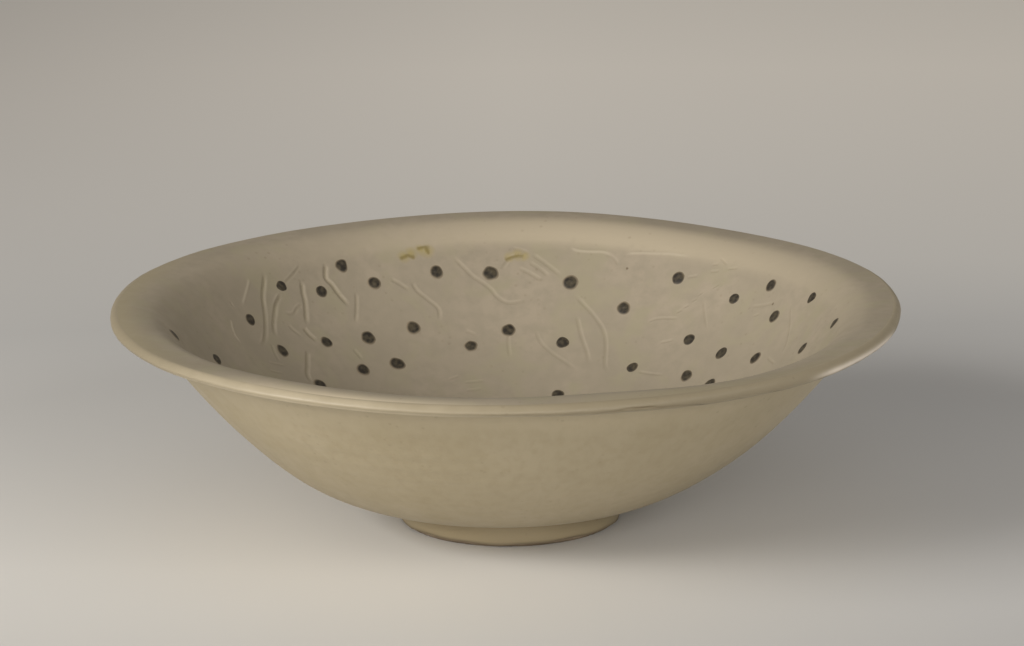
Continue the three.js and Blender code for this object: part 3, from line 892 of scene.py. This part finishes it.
LIP_TOP_PALE = (0.59, 0.503, 0.362)
LIP_TOP_WIDE, LIP_TOP_FROM, LIP_TOP_TO, LIP_TOP_FADE = 11, 219, 276, 30
LIP_TOP_OLIVE = (0.296, 0.253, 0.17)
LIP_OLIVE_ARCS, LIP_OLIVE_FADE = ((272, 337), (140, 228)), 25
CUT_DARK = (0.205, 0.172, 0.11)
CUT_PALE = (0.43, 0.37, 0.283)

inner_line = np.vstack([[[0, under_inside(0)[0][1]]], under_inside(0)])
inner_length = run_lengths(inner_line)
inner_normal = np.vstack([inward[:1], inward])
inner_reach = inner_line[-1, 0]


def inside_at(length, angle):
    """Place on the inside, by its way along the wall from the middle and its bearing."""
    radius = np.interp(length, inner_length, inner_line[:, 0])
    height = np.interp(length, inner_length, inner_line[:, 1])
    return np.column_stack([radius * np.cos(angle), radius * np.sin(angle), height])


def inside_normal(length, angle):
    out = np.interp(length, inner_length, inner_normal[:, 0])
    up = np.interp(length, inner_length, inner_normal[:, 1])
    return np.column_stack([out * np.cos(angle), out * np.sin(angle), up])


def way_and_bearing(points):
    radius = np.hypot(points[:, 0], points[:, 1])
    return np.interp(radius, inner_line[:, 0], inner_length), np.arctan2(points[:, 1], points[:, 0])


def seen_on_wall(pixel):
    """The place on the inside that shows at a pixel of the view."""
    aim = view_turn @ Vector(((pixel[0] - IMAGE_WIDTH / 2) / FOCAL_PIXELS,
                              (IMAGE_HEIGHT / 2 - pixel[1]) / FOCAL_PIXELS, -1))
    eye, aim = np.array(VIEW_FROM) / MM, np.array(aim) / MM
    reach = np.linspace(SIGHT_NEAR, SIGHT_FAR, SIGHT_POINTS)
    line = eye + reach[:, None] * aim
    radius = np.hypot(line[:, 0], line[:, 1])
    above = line[:, 2] - np.interp(radius, inner_line[:, 0], inner_line[:, 1])
    above[radius > inner_reach] = np.nan
    hits = np.nonzero((above[:-1] > 0) & (above[1:] <= 0))[0]
    first = hits[0]
    share = above[first] / (above[first] - above[first + 1])
    return line[first] + share * (line[first + 1] - line[first])


def smooth_stroke(corners):
    """A stroke drawn smoothly through its corners, at even steps on the inside of the wall."""
    padded = np.vstack([2 * corners[0] - corners[1], corners, 2 * corners[-1] - corners[-2]])
    drawn = []
    for before, start, end, after in zip(padded, padded[1:], padded[2:], padded[3:]):
        for share in np.linspace(0, 1, STROKE_CURVE_STEPS, endpoint=False):
            drawn.append(0.5 * (2 * start + (end - before) * share
                                + (2 * before - 5 * start + 4 * end - after) * share ** 2
                                + (3 * start - before - 3 * end + after) * share ** 3))
    drawn = np.array(drawn + [padded[-2]])
    lengths = run_lengths(drawn)
    count = max(STROKE_LEAST_STEPS, int(lengths[-1] / CUT_STEP))
    even = np.linspace(0, lengths[-1], count + 1)
    drawn = np.column_stack([np.interp(even, lengths, drawn[:, axis]) for axis in range(3)])
    return inside_at(*way_and_bearing(drawn))


def boxed(points, stroke, reach):
    """Which points lie in the box round a stroke."""
    return np.all((points > stroke.min(0) - reach) & (points < stroke.max(0) + reach), axis=1)


strokes = []
for group, depth, half_width in CUT_GROUPS:
    for pixels in group.values():
        stroke = smooth_stroke(np.array([seen_on_wall(pixel) for pixel in pixels]))
        strokes.append((stroke, depth, half_width))
        turned_round = stroke * np.array([-1, -1, 1])
        bearing = np.degrees(np.arctan2(turned_round[:, 1], turned_round[:, 0])) % 360
        if bearing.min() > NEAR_WALL_FROM and bearing.max() < NEAR_WALL_TO:
            strokes.append((turned_round, depth, half_width))

coat_net = []
for length in np.arange(0, inner_length[-1] - COAT_SPACING / 2, COAT_SPACING):
    radius = np.interp(length, inner_length, inner_line[:, 0])
    count = max(1, int(math.tau * radius / COAT_SPACING))
    for k in range(count):
        coat_net.append((length, (k + 0.5 * (len(coat_net) % 2)) * math.tau / count))
coat_net = np.array(coat_net)
net_places = inside_at(coat_net[:, 0], coat_net[:, 1])

cut_net = []
clear = np.ones(len(coat_net), bool)
for stroke, depth, half_width in strokes:
    run = np.gradient(stroke, axis=0)
    run /= np.linalg.norm(run, axis=1)[:, None]
    up = inside_normal(*way_and_bearing(stroke))
    across = np.cross(run, up)
    for row in CUT_ROWS:
        cut_net.append(stroke + across * row * half_width / CUT_HALF_WIDTH)
    near = np.nonzero(clear & boxed(net_places, stroke, CUT_CLEARANCE))[0]
    if len(near):
        apart = np.linalg.norm(net_places[near][:, None, :] - stroke[None, :, :], axis=2).min(1)
        clear[near[apart < CUT_CLEARANCE]] = False
cut_net = np.column_stack(way_and_bearing(np.vstack(cut_net)))
cut_net = cut_net[cut_net[:, 0] < inner_length[-1] - COAT_SPACING]
edge_net = np.column_stack([np.full(COAT_SEGMENTS, inner_length[-1]),
                            np.arange(COAT_SEGMENTS) * math.tau / COAT_SEGMENTS])
net = np.vstack([edge_net, coat_net[clear], cut_net])
flat = np.column_stack([net[:, 0] * np.cos(net[:, 1]), net[:, 0] * np.sin(net[:, 1])])
kept = np.sort(np.unique(np.round(flat / SAME_PLACE).astype(int), axis=0, return_index=True)[1])
kept = np.union1d(np.arange(COAT_SEGMENTS), kept)
net, flat = net[kept], flat[kept]
sheet = delaunay_2d_cdt([Vector(point) for point in flat], [], [], 0, FLAT_TOLERANCE)
source = [origins[0] for origins in sheet[3]]
net = net[source]
inside_faces = [tuple(face) for face in sheet[2]]

inside_points = inside_at(net[:, 0], net[:, 1])
inside_up = inside_normal(net[:, 0], net[:, 1])
inside_right = np.column_stack([np.sin(net[:, 1]), -np.cos(net[:, 1]), np.ones(len(net))])
cut_in, cut_fill, cut_edge = np.zeros((3, len(net)))
for stroke, depth, half_width in strokes:
    near = np.nonzero(boxed(inside_points, stroke, CUT_REACH * half_width))[0]
    start, run = stroke[:-1], np.diff(stroke, axis=0)
    offset = inside_points[near][:, None, :] - start[None]
    share = np.clip((offset * run).sum(2) / (run ** 2).sum(1), 0, 1)
    gap = np.linalg.norm(offset - share[:, :, None] * run[None], axis=2)
    nearest = gap.argmin(1)
    each = np.arange(len(near))
    apart = gap[each, nearest] / half_width
    along = (nearest + share[each, nearest]) / len(run)
    taper = between(along, 0, 1, CUT_TAPER_START, CUT_TAPER_END)
    hollow = np.clip(1 - apart ** 2, 0, 1) ** CUT_HOLLOW * taper
    off_line = offset[each, nearest] - share[each, nearest][:, None] * run[nearest]
    # The burr on the upper right side of a cut stands higher and is painted pale: thin glaze on it, and a
    # painted highlight where light catches it.
    upper_right = eased(0.5 + (off_line * inside_right[near]).sum(1) / half_width)
    burr = hump(apart, BURR_AT, BURR_WIDTH) * taper
    burr_height = CUT_BURR_FAR + (CUT_BURR - CUT_BURR_FAR) * upper_right
    cut_in[near] = np.minimum(cut_in[near], 0) - depth * hollow + depth * burr * burr_height
    strength = np.clip(abs(depth) / CUT_FULL_DEPTH, 0, 1)
    if depth > 0:
        cut_fill[near] = np.maximum(cut_fill[near], hollow * strength)
        cut_edge[near] = np.maximum(cut_edge[near], burr * upper_right * strength)
    else:
        cut_edge[near] = np.maximum(cut_edge[near], hollow)

swell = INSIDE_RING_DEPTH * wandering(
    net[:, 0], INSIDE_RING_TURN, INSIDE_RING_WANDER, INSIDE_RING_WANDER_TURN)
for size, count, slant in INSIDE_DENTS:
    swell += size * np.sin(count * net[:, 1] + net[:, 0] * slant)
swell *= between(net[:, 0], 0, inner_length[-1], INSIDE_DENT_FLOOR, INSIDE_DENT_RIM)
inside_points = inside_points + inside_up * (cut_in + swell)[:, None]

back_line = (inner_line - GLAZE_THICKNESS * inner_normal)[::-INSIDE_BACK_STEP]
back_line[:, 1] = np.where(back_line[:, 0] < AXIS_REACH, back_line[-2, 1], back_line[:, 1])
edge_of = {origin: index for index, origins in enumerate(sheet[3]) for origin in origins
           if origin < COAT_SEGMENTS}
rows = [[edge_of[k] for k in range(COAT_SEGMENTS)]]
back_points = []
for radius, height in back_line:
    first = len(inside_points) + len(back_points)
    if radius < AXIS_REACH:
        rows.append([first] * COAT_SEGMENTS)
        back_points.append((0, 0, height))
    else:
        rows.append(list(range(first, first + COAT_SEGMENTS)))
        for angle in edge_net[:, 1]:
            back_points.append((radius * math.cos(angle), radius * math.sin(angle), height))
for high, low in zip(rows, rows[1:]):
    for k in range(COAT_SEGMENTS):
        after = (k + 1) % COAT_SEGMENTS
        corners = dict.fromkeys((high[k], low[k], low[after], high[after]))
        if len(corners) > 2:
            inside_faces.append(tuple(corners))
inside_all = np.vstack([inside_points, np.array(back_points)])


def marked(tree, place, marks, strength, heart):
    """How far each place lies within one of the ragged marks that show at pixels of the view."""
    ragged = add_node(tree, "ShaderNodeTexNoise")
    ragged.inputs["Scale"].default_value = STAIN_RAGGED_SCALE
    tree.links.new(place, ragged.inputs["Vector"])
    moved = add_node(tree, "ShaderNodeVectorMath", operation="MULTIPLY_ADD")
    tree.links.new(ragged.outputs["Color"], moved.inputs[0])
    moved.inputs[1].default_value = [STAIN_RAGGED] * 3
    tree.links.new(place, moved.inputs[2])
    within = None
    for pixel, radius in marks:
        centre = hand_shaped(seen_on_wall(pixel)[None])[0] * MM + STAIN_RAGGED / 2
        spread = add_node(tree, "ShaderNodeVectorMath", operation="DISTANCE")
        tree.links.new(moved.outputs["Vector"], spread.inputs[0])
        spread.inputs[1].default_value = centre
        inside = grade(tree, spread.outputs["Value"], heart * radius * MM, radius * MM, strength, 0)
        within = join_values(tree, "MAXIMUM", within, inside) if within else inside
    return within


inside_celadon, tree, shader, place = new_finish("inside_celadon")
clouds = noise(tree, place, INSIDE_CLOUD_SCALE, PLAIN_DETAIL, INSIDE_CLOUD_TWIST)
broad = ramp(tree, clouds, (INSIDE_GREY_AT, INSIDE_GREY), (INSIDE_BUFF_AT, INSIDE_BUFF))
fine = grade(tree, noise(tree, place, INSIDE_FINE_SCALE, INSIDE_FINE_DETAIL), INSIDE_FINE_LOW,
             INSIDE_FINE_HIGH, 0, INSIDE_FINE_SHARE)
mottled = blend_colours(tree, fine, broad, INSIDE_GREY)
olive_clouds = noise(tree, place, OLIVE_CLOUD_SCALE, SOFT_DETAIL, OLIVE_CLOUD_TWIST)
greenish = grade(tree, olive_clouds, OLIVE_CLOUD_LOW, OLIVE_CLOUD_HIGH, 0, OLIVE_CLOUD_SHARE)
greened = blend_colours(tree, greenish, mottled, INSIDE_OLIVE)
deepened = blend_colours(tree, noted(tree, "deep_glaze"), greened, DEEP_TINT, "MULTIPLY")
creamed = blend_colours(tree, noted(tree, "thin_glaze"), deepened, RIM_BAND)
lipped = blend_colours(tree, noted(tree, "lip_top"), creamed, LIP_TOP_PALE)
olived = blend_colours(tree, noted(tree, "lip_olive"), lipped, LIP_TOP_OLIVE)
pitted = blend_colours(tree, pinholes(tree, place), olived, PIN_BROWN)
ochre_clouds = marked(tree, place, OCHRE_CLOUDS.values(), CLOUD_STRENGTH, CLOUD_HEART)
clouded = blend_colours(tree, ochre_clouds, pitted, INSIDE_OCHRE)
stroke_marks = []
for corners in OCHRE_STROKES.values():
    corners = np.array(corners)
    ways = run_lengths(corners)
    for way in np.arange(0, ways[-1], STROKE_STEP):
        pixel = [np.interp(way, ways, corners[:, axis]) for axis in (0, 1)]
        stroke_marks.append((pixel, STROKE_RADIUS))
ochre_strokes = marked(tree, place, stroke_marks, STROKE_STRENGTH, STROKE_HEART)
stained = blend_colours(tree, ochre_strokes, clouded, OCHRE_DEEP)
specks = marked(tree, place, BROWN_SPECKS.values(), SPECK_STRENGTH, STROKE_HEART)
specked = blend_colours(tree, specks, stained, SPECK_BROWN)
darkened = blend_colours(tree, noted(tree, "cut_fill"), specked, CUT_DARK)
# Painted highlight on the cuts' upper right edges and along the raised lines.
edged = blend_colours(tree, noted(tree, "cut_edge"), darkened, CUT_PALE)
tree.links.new(edged, shader.inputs["Base Color"])
roughen(tree, shader, INSIDE_SMOOTH, INSIDE_ROUGH, INSIDE_ROUGH_SCALE, place)
raise_grain(tree, shader, noise(tree, place, GLAZE_GRAIN_SCALE), GLAZE_GRAIN, GRAIN_RISE)
shader.inputs["IOR"].default_value = GLAZE_IOR
shader.inputs["Specular IOR Level"].default_value = INSIDE_SPECULAR

inner_coat = make_piece("inner_coat", hand_shaped(inside_all), inside_faces, inside_celadon,
                        "inside_celadon", "inside_glaze")
from_lip = inner_length[-1] - net[:, 0]
net_bearings = np.degrees(net[:, 1]) % 360
# Painted light: a paler band below the rim, full on the far wall where the light falls and faint at the
# sides.
off_band = (net_bearings - RIM_BAND_AT + 180) % 360 - 180
off_band /= np.where(off_band > 0, RIM_BAND_LEFT, RIM_BAND_RIGHT)
band_share = RIM_BAND_LEAST + (1 - RIM_BAND_LEAST) * np.exp(-off_band ** 2)
# Painted light: the inner lip top on the front left is blended paler towards its edge.
top_share = np.clip((LIP_TOP_WIDE - from_lip) / LIP_TOP_WIDE, 0, 1)
# Darker olive on the inner lip top on two arcs: olive glaze, and painted shade where the lip is less lit.
olive_share = sum(between(net_bearings, start, end, LIP_OLIVE_FADE, LIP_OLIVE_FADE)
                  for start, end in LIP_OLIVE_ARCS)
# Painted light and shade: the inside is darkened by a share that changes with the left-right place, most on
# the left and in the middle, least on the right, and evenly near the rim.
deep_share = np.interp(inside_points[:, 0], *zip(*DEEP_SHARES)) - DEEP_RIM_SHARE
note(inner_coat,
     deep_glaze=DEEP_RIM_SHARE + deep_share * eased((from_lip - DEEP_RIM_FROM) / DEEP_RIM_OVER),
     cut_fill=CUT_FILL_SHARE * cut_fill,
     cut_edge=CUT_EDGE_SHARE * cut_edge,
     thin_glaze=band_share * between(from_lip, RIM_BAND_FROM, RIM_BAND_TO, RIM_BAND_FADE, RIM_BAND_FADE),
     lip_top=top_share ** 2 * between(net_bearings, LIP_TOP_FROM, LIP_TOP_TO, LIP_TOP_FADE, LIP_TOP_FADE),
     lip_olive=eased(top_share) * olive_share)

# The iron spots: dabs of iron-brown slip set by brush on the damp wall, in loose rows between the sprays.
# Each stands a hair above the coat, with a soft uneven edge and a dimple, painted paler as a glint.
DAB_RINGS, DAB_SIDES = 12, 30
DAB_RADIUS, DAB_LEAST, DAB_MOST = 2.85, 0.97, 1.03
DAB_WAVES = ((2, 0.045), (3, 0.03), (5, 0.015))
LARGE_DABS = (12, 13, 16, 19, 20, 23, 28)
SMALL_DABS = (9, 17, 24)
LARGE_SHARE, SMALL_SHARE = 1.1, 0.9
WIDE_DABS = {1: 1.4, 2: 1.4}
DAB_FEATHER, DAB_EDGE_SHARE = 0.36, 0.95
DAB_HEIGHT, DAB_ROUNDING = 0.34, 2.6
DAB_SUNK, DAB_EDGE_DROP, DAB_EDGE_ROUNDING = 0.25, 0.08, 6
DAB_DIMPLE, DIMPLE_SPREAD, DIMPLE_OFF, DIMPLE_SHARE = 0.05, 0.05, 0.35, 0.35
IRON_DARK = (0.015, 0.0115, 0.0075)
IRON_OLIVE = (0.06, 0.048, 0.028)
IRON_EDGE = (0.235, 0.19, 0.13)
IRON_SPECK = (0.095, 0.08, 0.055)
IRON_SCALE, IRON_DARK_AT, IRON_OLIVE_AT = 560, 0.4, 0.68
IRON_SMOOTH, IRON_ROUGH, IRON_ROUGH_SCALE = 0.5, 0.65, 500
IRON_GRAIN, IRON_GRAIN_SCALE, IRON_GRAIN_RISE = 0.3, 1400, 0.0001
IRON_SPECULAR = 0.35

iron_brown, tree, shader, place = new_finish("iron_brown")
dark = ramp(tree, noise(tree, place, IRON_SCALE), (IRON_DARK_AT, IRON_DARK), (IRON_OLIVE_AT, IRON_OLIVE))
edged = blend_colours(tree, noted(tree, "dab_edge"), dark, IRON_EDGE)
# Painted glint: the dab is blended paler at its dimple.
specked = blend_colours(tree, noted(tree, "dab_speck"), edged, IRON_SPECK)
tree.links.new(specked, shader.inputs["Base Color"])
roughen(tree, shader, IRON_SMOOTH, IRON_ROUGH, IRON_ROUGH_SCALE, place)
raise_grain(tree, shader, noise(tree, place, IRON_GRAIN_SCALE), IRON_GRAIN, IRON_GRAIN_RISE)
shader.inputs["IOR"].default_value = GLAZE_IOR
shader.inputs["Specular IOR Level"].default_value = IRON_SPECULAR

sides = np.arange(DAB_SIDES) * math.tau / DAB_SIDES
shares = np.concatenate([[0], np.repeat(np.linspace(0, 1, DAB_RINGS + 1)[1:], DAB_SIDES)])
turns = np.concatenate([[0], np.tile(sides, DAB_RINGS)])
edges = DAB_EDGE_SHARE * eased((shares - 1 + DAB_FEATHER) / DAB_FEATHER)
dab_faces = [(0, 1 + (k + 1) % DAB_SIDES, 1 + k) for k in range(DAB_SIDES)]
for ring in range(DAB_RINGS):
    inner, outer = 1 + ring * DAB_SIDES, 1 + (ring + 1) * DAB_SIDES
    for k in range(DAB_SIDES):
        after = (k + 1) % DAB_SIDES
        dab_faces.append((inner + k, inner + after, outer + after, outer + k))
dab_faces.append(tuple(range(len(shares), len(shares) + DAB_SIDES)))

spot_nodes = sorted(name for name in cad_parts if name.startswith("iron_spot_"))
for spot_node in spot_nodes:
    number = int(spot_node.rsplit("_", 1)[1])
    hand = np.random.default_rng(number)
    low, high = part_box(spot_node)
    middle = np.array((low + high) / 2) / MM
    bearing = math.atan2(middle[1], middle[0])
    off_line = np.hypot(inner_line[:, 0] - math.hypot(middle[0], middle[1]),
                        inner_line[:, 1] - middle[2])
    way = inner_length[off_line.argmin()]
    radius = np.interp(way, inner_length, inner_line[:, 0])
    outline = np.ones(DAB_SIDES)
    for waves, swing in DAB_WAVES:
        outline += swing * hand.normal() * np.cos(waves * sides + hand.uniform(0, math.tau))
    outline *= DAB_RADIUS * hand.uniform(DAB_LEAST, DAB_MOST)
    outline *= LARGE_SHARE if number in LARGE_DABS else SMALL_SHARE if number in SMALL_DABS else 1
    dimple_side, dimple_off = hand.uniform(0, math.tau), hand.uniform(0.0, DIMPLE_OFF)
    reaches = shares * np.concatenate([[0], np.tile(outline, DAB_RINGS)])
    ways = way + reaches * np.sin(turns)
    bearings = bearing + WIDE_DABS.get(number, 1) * reaches * np.cos(turns) / radius
    dimple_x = shares * np.cos(turns) - dimple_off * math.cos(dimple_side)
    dimple_y = shares * np.sin(turns) - dimple_off * math.sin(dimple_side)
    dimple = np.exp(-(dimple_x ** 2 + dimple_y ** 2) / DIMPLE_SPREAD)
    lifts = (DAB_HEIGHT * (1 - shares ** DAB_ROUNDING) - DAB_EDGE_DROP * shares ** DAB_EDGE_ROUNDING
             - DAB_DIMPLE * dimple)
    top = inside_at(ways, bearings) + inside_normal(ways, bearings) * lifts[:, None]
    rim_ways, rim_bearings = ways[-DAB_SIDES:], bearings[-DAB_SIDES:]
    under = inside_at(rim_ways, rim_bearings) - DAB_SUNK * inside_normal(rim_ways, rim_bearings)
    points = np.vstack([top, under])
    dab = make_piece(f"iron_dab_{number:02d}", hand_shaped(points), dab_faces, iron_brown, "iron_brown",
                     spot_node)
    note(dab, dab_edge=np.concatenate([edges, np.ones(DAB_SIDES)]), dab_speck=DIMPLE_SHARE * dimple)
